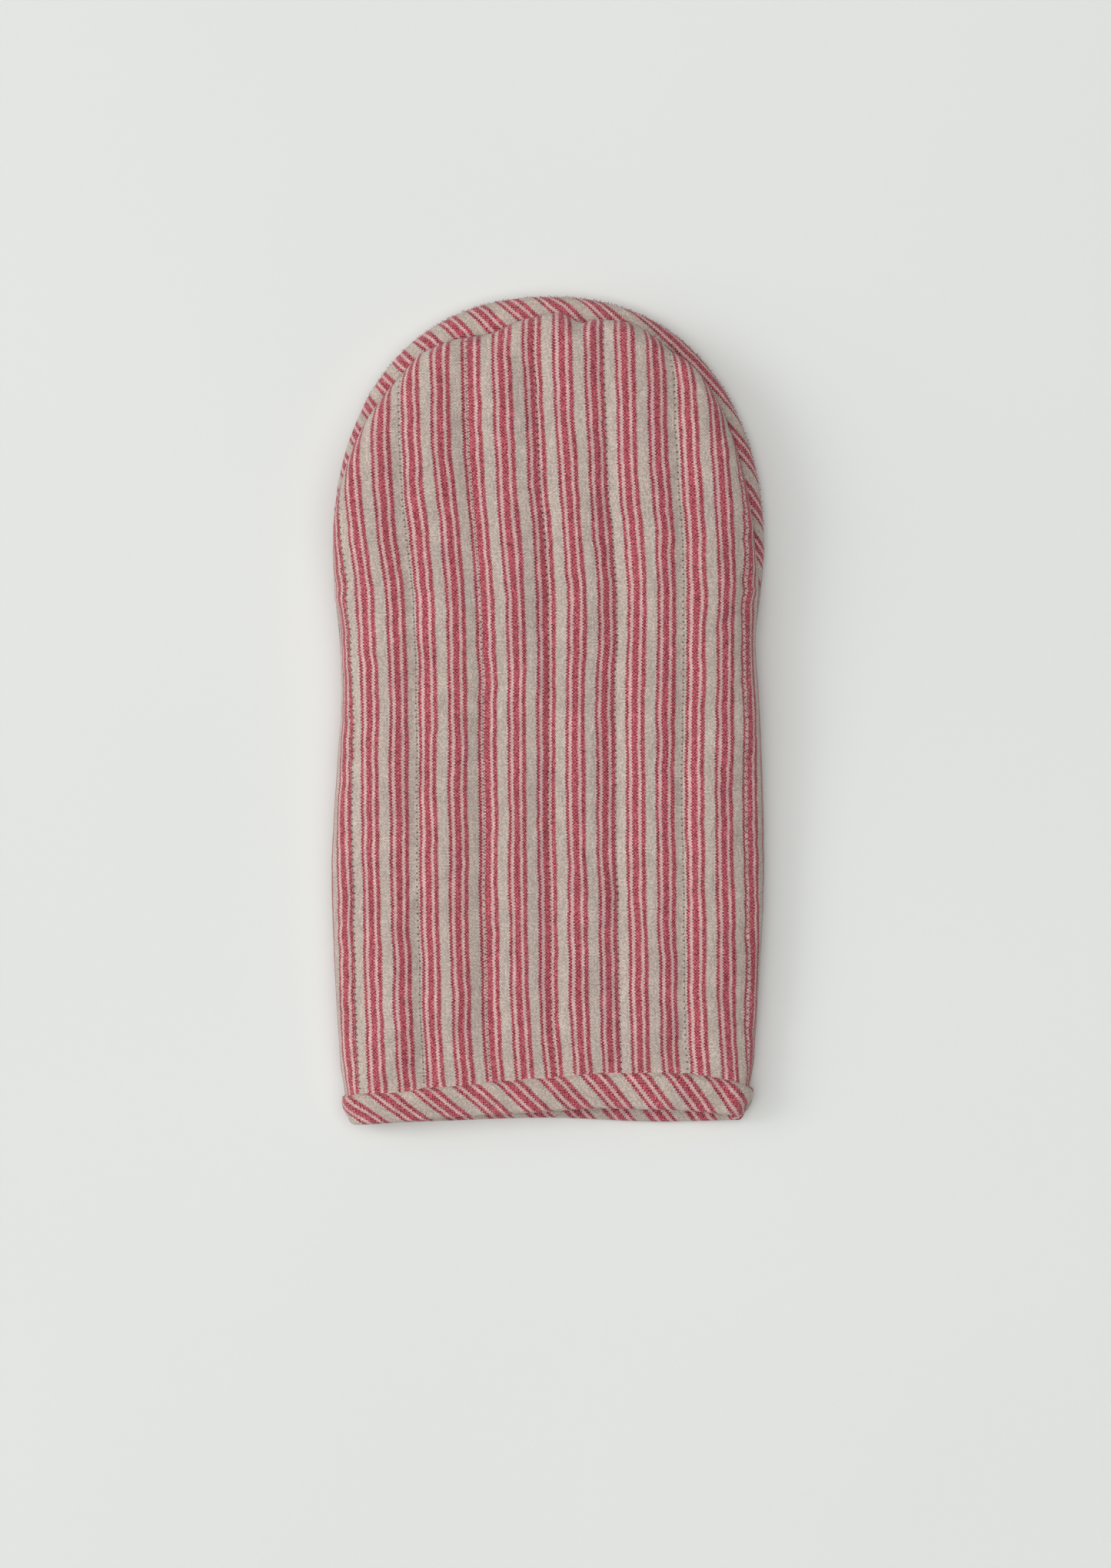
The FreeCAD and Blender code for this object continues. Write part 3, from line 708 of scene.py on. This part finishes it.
def woven_cloth(name, quilted):
    """Plain weave of slubby cotton: beige, pink and red yarns along the length."""
    s = Shader(name, 0.9, 0.18)
    uv = s.node("ShaderNodeUVMap", {"uv_map": "cloth"}).outputs[0]
    axes = s.node("ShaderNodeSeparateXYZ", Vector=uv)
    u, v = axes.outputs[0], axes.outputs[1]
    wander = s.times(s.minus(s.noise(uv, 0.9), 0.5), 0.06)
    shiver = s.times(s.minus(s.noise(uv, 7.0), 0.5), 0.05)
    u = s.added(s.added(u, wander), shiver)
    warp = s.times(u, YARNS)
    weft = s.times(v, YARNS)
    pick, end = s.maths("FLOOR", weft), s.maths("FLOOR", warp)
    step = s.maths("MODULO", s.added(pick, 4000), 2)
    zigzag = s.times(s.minus(step, 0.5), 0.6 / YARNS)
    place = s.maths("FRACT", s.added(u, zigzag))
    beige, red = linear(BEIGE), linear(RED)
    thin, pink = linear(THIN_RED), linear(PINK)
    widths = [(0.0, beige), (0.355, thin), (0.455, pink), (0.56, red), (0.765, pink), (0.86, thin)]
    warp_colour = s.ramp(place, widths, "CONSTANT")
    none, full = (0, 0, 0, 1), (1, 1, 1, 1)
    is_red = s.ramp(place, [(0, none), (0.355, full), (0.455, none), (0.56, full), (0.765, none),
                            (0.86, full)], "CONSTANT")
    slub = s.noise(s.vector(end, s.times(v, 1.3)), 1.7, 3.0)
    streak = s.noise(s.vector(s.times(u, 2.0), s.times(pick, 0.9)), 1.0)
    spot = s.noise(s.vector(end, pick), 1.13, 1.0)
    deep = s.mix(s.between(spot, 0.36, 0.66, 0.0, 1.0), linear(RED_DARK), linear(RED_LIGHT))
    warp_colour = s.mix(s.times(is_red, 0.75), warp_colour, deep)
    worn = s.mix(s.between(slub, 0.35, 0.7, 0.0, 0.5), warp_colour, linear(BEIGE_DARK))
    warp_colour = s.mix(s.minus(1.0, is_red), warp_colour, worn)
    across = s.maths("ABSOLUTE", s.minus(s.maths("FRACT", warp), 0.5))
    along = s.maths("ABSOLUTE", s.minus(s.maths("FRACT", weft), 0.5))
    over = s.maths("MODULO", s.added(s.added(pick, end), 8000), 2)
    dot = s.times(s.between(across, 0.18, 0.42, 1.0, 0.0),
                  s.between(along, 0.12, 0.36, 1.0, 0.0))
    shows = s.times(s.times(over, dot), 0.55)
    colour = s.mix(shows, warp_colour, linear(WEFT))
    # Painted shade in the gaps between the yarns: each yarn's colour darkens towards its edges.
    hollow = s.maths("MAXIMUM", across, along)
    shade = s.between(hollow, 0.30, 0.5, 1.0, 0.80)
    colour = s.mix(1.0, colour, s.vector(shade, shade, shade), "MULTIPLY")
    tone = s.between(s.noise(uv, 0.55, 4.0), 0.25, 0.75, 0.93, 1.05)
    tone = s.times(tone, s.between(streak, 0.25, 0.75, 0.93, 1.06))
    grain = s.noise(s.vector(end, pick, 7.7), 0.9, 0.0)
    tone = s.times(tone, s.between(grain, 0.3, 0.7, 0.82, 1.16))
    blotch = s.noise(s.vector(s.times(u, 3.1), s.times(v, 0.8)), 1.6, 3.0)
    tone = s.times(tone, s.between(blotch, 0.3, 0.7, 0.93, 1.06))
    colour = s.mix(1.0, colour, s.vector(tone, tone, tone), "MULTIPLY")
    if quilted:
        row = s.maths("DIVIDE", s.added(s.minus(axes.outputs[0], BEIGE_MIDDLE),
                                        (BEIGE_X - ROW_X) / REPEAT), ROW_PITCH / REPEAT)
        row = s.maths("ABSOLUTE", s.minus(row, s.maths("ROUND", row)))
        row = s.times(row, ROW_PITCH)
        hole = s.maths("DIVIDE", axes.outputs[1], STITCH / REPEAT)
        hole = s.maths("ABSOLUTE", s.minus(hole, s.maths("ROUND", hole)))
        hole = s.times(hole, STITCH)
        # Painted shade in the needle holes: dark dots along each row of quilting, between the
        # stitches.
        needle_hole_shade = s.times(s.between(row, 0.2, 0.5, 1.0, 0.0),
                      s.between(hole, 0.15, 0.45, 1.0, 0.0))
        dark = s.minus(1.0, s.times(needle_hole_shade, 0.75))
        colour = s.mix(1.0, colour, s.vector(dark, dark, dark), "MULTIPLY")
    round_yarn = s.between(across, 0.1, 0.5, 1.0, 0.0)
    round_pick = s.between(along, 0.1, 0.5, 1.0, 0.0)
    height = s.added(s.times(round_yarn, round_pick),
                     s.times(s.noise(uv, 60.0, 2.0), 0.5))
    height = s.added(height, s.times(slub, 0.8))
    return s.finish(colour, height, 0.11, 0.8)


def plain_cotton(name, colour, yarn, depth):
    """Undyed plain weave or matted fibre, from the object's own place."""
    s = Shader(name, 0.95, 0.1)
    place = s.node("ShaderNodeTexCoord").outputs["Object"]
    axes = s.node("ShaderNodeSeparateXYZ", Vector=place)
    ribs = [s.maths("SINE", s.times(axes.outputs[i], 2 * math.pi / (yarn * MM)))
            for i in (0, 1)]
    height = s.added(s.times(ribs[0], ribs[1]), s.noise(place, 900.0, 3.0))
    tone = s.between(s.noise(place, 45.0, 4.0), 0.3, 0.7, 0.0, 1.0)
    dark = tuple(int(c * 0.9) for c in colour)
    return s.finish(s.mix(tone, linear(dark), linear(colour)), height, depth)


def sewing_thread(name, colour):
    """Twisted cotton thread."""
    s = Shader(name, 0.7, 0.1)
    place = s.node("ShaderNodeTexCoord").outputs["Object"]
    fibre = s.noise(place, 2600.0, 2.0)
    tone = s.between(fibre, 0.3, 0.7, 0.0, 1.0)
    dark = tuple(int(c * 0.78) for c in colour)
    return s.finish(s.mix(tone, linear(dark), linear(colour)), fibre, 0.08)


STRIPED = woven_cloth("striped_cloth", True)
BIAS = woven_cloth("bias_cloth", False)
COTTON = plain_cotton("lining_cotton", (226, 218, 204), 0.7, 0.08)
FLEECE = plain_cotton("wadding_fleece", (238, 236, 230), 3.1, 0.5)
THREAD = sewing_thread("quilting_thread", (196, 172, 162))
YARN = sewing_thread("loose_yarn", (186, 84, 98))


# ----------------
# The layers of the four walls
# ----------------
LAYER_NODE = {"cover": "outer", "batting": "wadding", "lining": "lining", "quilting": "quilting"}


def across_mouth(obj):
    """Bakes the piece's transform into its mesh."""
    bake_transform(obj)


def cad_nodes(wall_name, layer):
    """The CAD nodes that a layer of a wall stands for."""
    part = LAYER_NODE[layer]
    if wall_name.startswith("mouth"):
        return [wall_name + "_" + part]
    jaw = "finger" if wall_name == "front" else "thumb"
    return [f"{wall_name}_{part}_hand", f"{wall_name}_{part}_{jaw}"]


PIECE_NAME = {"front": "front", "back": "back", "mouth_upper": "upper_mouth",
              "mouth_lower": "lower_mouth"}


def make_layer(wall_name, layer):
    """One layer of a wall as a closed shell."""
    wall = WALLS[wall_name]
    name, outer, inner, outer_edge, inner_edge = layer
    outside = wall.surface(outer, outer_edge, 1 if name == "lining" else 0)
    inside = wall.surface(inner, inner_edge, 0 if name == "cover" else 1)
    bias = wall_name.startswith("mouth")
    material = {"cover": BIAS if bias else STRIPED, "batting": FLEECE, "lining": COTTON}[name]
    obj = shell(PIECE_NAME[wall_name] + "_" + name, outside, inside, cloth_uv(wall.u, wall.v),
                wall.side < 0, material)
    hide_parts(*cad_nodes(wall_name, name))
    return obj


PIECES = {}
for wall_name in WALLS:
    for layer in MOUTH if wall_name.startswith("mouth") else PANEL:
        PIECES[wall_name + "_" + layer[0]] = make_layer(wall_name, layer)


# ----------------
# Stitches
# ----------------
def tree_of(obj):
    """A search tree of a mesh, in metres."""
    mesh = obj.data
    return BVHTree.FromPolygons([v.co.copy() for v in mesh.vertices],
                                [tuple(p.vertices) for p in mesh.polygons])


def drop(tree, x, y, side):
    """The outside point of a cover straight above or below a place, in millimetres."""
    start = Vector((x * MM, y * MM, 0.06 if side > 0 else -0.03))
    hit, normal, _, _ = tree.ray_cast(start, Vector((0, 0, -side)))
    return (None, None) if hit is None else (np.array(hit) / MM, np.array(normal))


def tube(line, radii, sides=6):
    """Vertices and faces of a round tube along a short line of points."""
    line = np.asarray(line, float)
    forward = np.gradient(line, axis=0)
    forward /= np.linalg.norm(forward, axis=1, keepdims=True)
    helper = np.array([0.13, 0.21, 1.0])
    a = np.cross(forward, helper)
    a /= np.linalg.norm(a, axis=1, keepdims=True)
    b = np.cross(forward, a)
    turn = np.arange(sides) * 2 * math.pi / sides
    rings = [line[i] + radii[i] * (np.cos(turn)[:, None] * a[i] + np.sin(turn)[:, None] * b[i])
             for i in range(len(line))]
    count = len(line)
    faces = []
    for i in range(count - 1):
        for j in range(sides):
            k = (j + 1) % sides
            faces.append([i * sides + j, i * sides + k, (i + 1) * sides + k,
                          (i + 1) * sides + j])
    faces.append(list(range(sides))[::-1])
    faces.append([(count - 1) * sides + j for j in range(sides)])
    return np.concatenate(rings), faces


def sew(name, stitches, radius, material):
    """One mesh of many short stitches; each goes into the cloth at both ends."""
    vertices, faces, start = [], [], 0
    for first, last, normal in stitches:
        sink = radius * 2.2
        middle = (first + last) / 2 + normal * radius * 0.5
        quarter = [(3 * first + last) / 4, (first + 3 * last) / 4]
        line = [first - normal * sink, quarter[0] + normal * radius * 0.1, middle,
                quarter[1] + normal * radius * 0.1, last - normal * sink]
        ring, quads = tube(line, [radius * f for f in (0.7, 1.0, 1.05, 1.0, 0.7)])
        vertices.append(ring)
        faces += [[start + i for i in quad] for quad in quads]
        start += len(ring)
    return new_object(name, np.concatenate(vertices), faces, None, material)


def quilting(wall_name):
    """The rows of stitches of one wall."""
    wall = WALLS[wall_name]
    side = wall.side
    tree = tree_of(PIECES[wall_name + "_cover"])
    chance = np.random.default_rng(wall.seed)
    low, high = wall.v.min(), wall.v.max()
    found = []
    first_row = math.ceil((wall.u.min() - ROW_X) / ROW_PITCH)
    last_row = math.floor((wall.u.max() - ROW_X) / ROW_PITCH)
    for row in range(first_row, last_row + 1):
        u = ROW_X + row * ROW_PITCH
        for v in np.arange(math.ceil(low / STITCH) * STITCH, high, STITCH):
            ends = []
            drift = chance.normal(0, 0.09)
            for step in (0.2, 0.8):
                x, y = wall.cloth.worn(np.float64(u + drift), np.float64(v + step * STITCH))
                reach, _ = wall.outline.edge(np.array([x]), np.array([y]))
                inside = abs(x) < 74 and reach[0] > 2.2
                inside = inside and y > (through(wall.tape, x) + 2 if wall.tape else MOUTH_Y + 3)
                ends.append(drop(tree, x, y, side) if inside else (None, None))
            if ends[0][0] is not None and ends[1][0] is not None:
                found.append((ends[0][0], ends[1][0], ends[0][1] * side * np.sign(ends[0][1][2])))
    obj = sew(PIECE_NAME[wall_name] + "_quilting_thread", found, 0.19, THREAD)
    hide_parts(*cad_nodes(wall_name, "quilting"))
    return obj


for wall_name in WALLS:
    PIECES[wall_name + "_quilting"] = quilting(wall_name)
for name, obj in PIECES.items():
    across_mouth(obj)


def fray(name, outline, seam, keep, spacing, seed):
    """Short ends of yarn that stand out of a seam."""
    chance = np.random.default_rng(seed)
    vertices, faces, start = [], [], 0
    gap = np.linalg.norm(np.diff(outline.points, axis=0), axis=1)
    length = np.concatenate([[0], np.cumsum(gap)])
    places = np.arange(0, length[-1], spacing)
    places = places + chance.uniform(-0.5, 0.5, len(places)) * spacing
    for place in places:
        i = min(int(np.searchsorted(length, place)), len(outline.points) - 1)
        x, y = outline.points[i]
        reach = chance.uniform(0.3, 0.95) ** 2
        lean, rise = chance.normal(0, 0.5), chance.normal(0, 0.3)
        if not keep(x, y):
            continue
        out = np.array([*outline.out[i], 0.0])
        along = np.array([-out[1], out[0], 0.0])
        root = np.array([x, y, float(seam(x, y))]) - out * 0.7
        middle = root + out * (0.7 + 0.4 * reach) + along * lean * 0.3
        end = root + out * (0.6 + reach) + along * lean + np.array([0, 0, rise])
        ring, quads = tube([root, middle, end], [0.1, 0.09, 0.05], 4)
        vertices.append(ring)
        faces += [[start + k for k in quad] for quad in quads]
        start += len(ring)
    obj = new_object(name, np.concatenate(vertices), faces, None, YARN)
    across_mouth(obj)


fray("thumb_jaw_fray", OUTER, hand_seam, lambda x, y: y > 90 - 0.3 * x, 0.8, 5)
fray("finger_jaw_fray", FRONT, front_seam, lambda x, y: y > 60 and x > -60, 1.6, 6)


# ----------------
# Seam allowances, inside
# ----------------
def allowance(name, outline, seam, keep, node, lift=0.0):
    """The trimmed edges of the layers, sewn together inside along a seam."""
    take = [i for i in range(0, len(outline.points), 5) if keep(*outline.points[i])]
    points, out = outline.points[take], outline.out[take]
    level = seam(points[:, 0], points[:, 1]) + lift
    rings = []
    for inset, rise in ((2.6, -0.4), (2.6, 0.4), (5.0, 0.4), (5.0, -0.4)):
        place = points - out * inset
        rings.append(np.stack([place[:, 0], place[:, 1], level + rise], 1))
    vertices = np.stack(rings, 1).reshape(-1, 3)
    count = len(points)
    faces = [[4 * i + j, 4 * i + (j + 1) % 4, 4 * i + 4 + (j + 1) % 4, 4 * i + 4 + j]
             for i in range(count - 1) for j in range(4)]
    faces += [[3, 2, 1, 0], [4 * count - 4 + j for j in range(4)]]
    obj = new_object(name, vertices, faces, None, COTTON)
    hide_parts(node)
    return obj


LEFT_SEAM = allowance("left_seam_allowance", OUTER, hand_seam,
                      lambda x, y: x < 0 and -146 < y < MOUTH_Y, "side_seam_left")
RIGHT_SEAM = allowance("right_seam_allowance", OUTER, hand_seam,
                       lambda x, y: x > 0 and -146 < y < MOUTH_Y, "side_seam_right")
FINGER_SEAM = allowance("finger_jaw_allowance", FRONT, front_seam,
                        lambda x, y: y > MOUTH_Y + 24, "finger_seam_allowance", 1.4)
THUMB_SEAM = allowance("thumb_jaw_allowance", OUTER, hand_seam,
                       lambda x, y: y > MOUTH_Y + 1, "thumb_seam_allowance")
across_mouth(FINGER_SEAM)
across_mouth(THUMB_SEAM)
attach(LEFT_SEAM, HAND)
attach(RIGHT_SEAM, HAND)


# ----------------
# The bias tape round the cuff
# ----------------
TAPE = 0.6  # thickness of the tape
TAPE_SEED = 71
WALL_DEPTH = PANEL[-1][2]  # from the outside of a wall to the inside of its lining
FLAP_RIPPLE = 0.35  # the flap inside the cuff ripples this much of what the outside does


def cuff_point(s, y, wall, depth):
    """A place on the cuff's wall: s across from -1 to 1, y along, depth below the outside."""
    x, y = wall.outline.place(s, y)
    _, half = wall.outline.middle(y)
    reach = np.maximum((1 - np.abs(s)) * half, 0)
    share, _ = wall.share(y, reach)
    turn = np.sqrt(1 - (1 - share) ** 2)
    out = np.stack([np.sign(s), np.zeros_like(s)], -1)
    normal = np.stack([np.sign(s) * (1 - share), np.zeros_like(s), wall.side * turn], -1)
    normal /= np.linalg.norm(normal, axis=-1, keepdims=True)
    bare = wall.shape(x, y, reach, out, 0, 0, 0.0)
    return bare - normal * depth[..., None]


def make_binding():
    """A bias tape folded over the cuff's raw edge, puffed out by the wadding inside it."""
    lines = side_lines(72.0, 0.0)[0][1:-1]
    front = [(s, WALLS["front"], FRONT_CUFF, FRONT_BINDING) for s in lines]
    back = [(s, WALLS["back"], BACK_CUFF, BACK_BINDING) for s in lines[::-1][1:]]
    ring = front + back
    pressed_depth = WALL_DEPTH - 2 * SQUEEZE
    columns = []
    for k, (s, wall, cuff, seam_line) in enumerate(ring):
        x, _ = wall.outline.place(s, -143.0)
        bottom, seam_y = through(cuff, x), through(seam_line, x)
        around = k * 0.9
        height = seam_y - bottom
        # Rows of place, depth and progress, over the outside, the fold and the inner flap.
        profile = []
        for f in np.linspace(0, 1, 15):
            puff = 0.55 + 1.25 * math.sin(math.pi * min(f * 1.1, 1)) ** 0.7
            sewn = float(ease(f, 0, 0.16))
            depth = SQUEEZE - puff * sewn + 0.7 * (1 - sewn)
            profile.append((seam_y - f * (height - 2.0), depth, f))
        for f in np.linspace(0.12, 0.88, 6):
            angle = math.pi * f
            centre = SQUEEZE + pressed_depth / 2
            radius = pressed_depth / 2 + 0.62
            profile.append((bottom + 2.0 - 2.0 * math.sin(angle) ** 0.8,
                            centre - radius * math.cos(angle), 1 + f))
        for f in np.linspace(1, 0, 12):
            puff = 0.95 + 0.5 * math.sin(math.pi * min(f * 1.12, 1)) ** 0.7
            profile.append((seam_y + 0.6 - f * (height - 1.4),
                            SQUEEZE + pressed_depth + puff, 3 - f))
        profile = np.array(profile)
        columns.append((s, wall, profile, around))
    grid = []
    for s, wall, profile, around in columns:
        count = len(profile)
        y, depth = profile[:, 0], profile[:, 1]
        ripple = 0.4 * noise(np.full(count, around), profile[:, 2] * 12, 7, 9, TAPE_SEED)
        ripple += 0.22 * noise(np.full(count, around), profile[:, 2] * 12, 3.2, 6, TAPE_SEED + 1)
        ripple = ripple * np.where(profile[:, 2] > 2, FLAP_RIPPLE, 1.0)
        outer = cuff_point(np.full(count, s), y, wall, depth - ripple * np.sign(2.0 - depth))
        outer[:, 2] = np.maximum(outer[:, 2], FLOOR_GAP)
        grid.append(outer)
    grid = np.array(grid)
    across, along = np.gradient(grid, axis=1), np.gradient(grid, axis=0)
    normal = np.cross(across, along)
    normal /= np.maximum(np.linalg.norm(normal, axis=-1, keepdims=True), 1e-9)
    if normal[len(lines) // 2, 4, 2] < 0:
        normal = -normal
    length = np.linalg.norm(np.diff(grid, axis=0), axis=-1).mean(1)
    along_ring = np.concatenate([[0], np.cumsum(length)])
    width = np.linalg.norm(np.diff(grid, axis=1), axis=-1).mean(0)
    over_edge = np.concatenate([[0], np.cumsum(width)])
    a, b = np.meshgrid(along_ring, over_edge, indexing="ij")
    u, v = (a - b) / math.sqrt(2), (b + a) / math.sqrt(2)
    obj = shell("cuff_binding_tape", grid, grid - normal * TAPE, cloth_uv(u, v), False, BIAS)
    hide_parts("cuff_binding")
    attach(obj, HAND)
    return obj


BINDING = make_binding()


# ----------------
# Floor, light and camera
# ----------------
def make_stage():
    """A pale floor under the mitt."""
    s = Shader("pale_floor", 0.85)
    place = s.node("ShaderNodeTexCoord").outputs["Object"]
    tone = s.between(s.noise(place, 3.0, 2.0), 0.2, 0.8, 0.0, 1.0)
    colour = s.mix(tone, linear((232, 234, 231)), linear((235, 237, 234)))
    s.finish(colour, s.noise(place, 400.0), 0.01)
    mesh = bpy.data.meshes.new("floor")
    mesh.from_pydata([(-4, -4, 0), (4, -4, 0), (4, 4, 0), (-4, 4, 0)], [], [(0, 1, 2, 3)])
    mesh.materials.append(s.material)
    floor = bpy.data.objects.new("floor", mesh)
    bpy.context.collection.objects.link(floor)
    floor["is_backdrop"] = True


def make_sun(name, towards, width, strength):
    """Soft light from far away; towards points from the object to the light."""
    lamp = bpy.data.lights.new(name, "SUN")
    lamp.angle, lamp.energy = math.radians(width), strength
    obj = bpy.data.objects.new(name, lamp)
    obj.rotation_euler = Vector(towards).to_track_quat("Z", "Y").to_euler()
    bpy.context.collection.objects.link(obj)


def make_lamp(name, place, target, size, power):
    """A round soft lamp."""
    lamp = bpy.data.lights.new(name, "AREA")
    lamp.shape, lamp.size, lamp.energy = "DISK", size, power
    obj = bpy.data.objects.new(name, lamp)
    obj.location = place
    obj.rotation_euler = (Vector(target) - Vector(place)).to_track_quat("-Z", "Y").to_euler()
    bpy.context.collection.objects.link(obj)


def make_camera():
    camera = bpy.data.cameras.new("camera")
    camera.lens, camera.sensor_width = 100, 36
    obj = bpy.data.objects.new("camera", camera)
    obj.location = (0.0026, -0.0262, 0.015 + 0.5614 / 0.36)
    bpy.context.collection.objects.link(obj)
    bpy.context.scene.camera = obj


make_stage()
make_sun("sky", (0.12, 0, 1), 62, 1.26)
make_sun("key", (-1.0, 0, 1.1), 78, 1.21)
make_lamp("window", (-2.3, 0.3, 1.6), (0, 0, 0), 1.2, 16.0)
make_camera()
world = bpy.data.worlds.new("studio")
world.use_nodes = True
world.node_tree.nodes["Background"].inputs["Color"].default_value = (0.985, 1.0, 0.985, 1)
world.node_tree.nodes["Background"].inputs["Strength"].default_value = 0.13
bpy.context.scene.world = world
bpy.context.scene.view_settings.view_transform = "Standard"

({"cad": [list(corner) for corner in CAD_BOX],
           "visual": [list(corner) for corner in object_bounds()]})
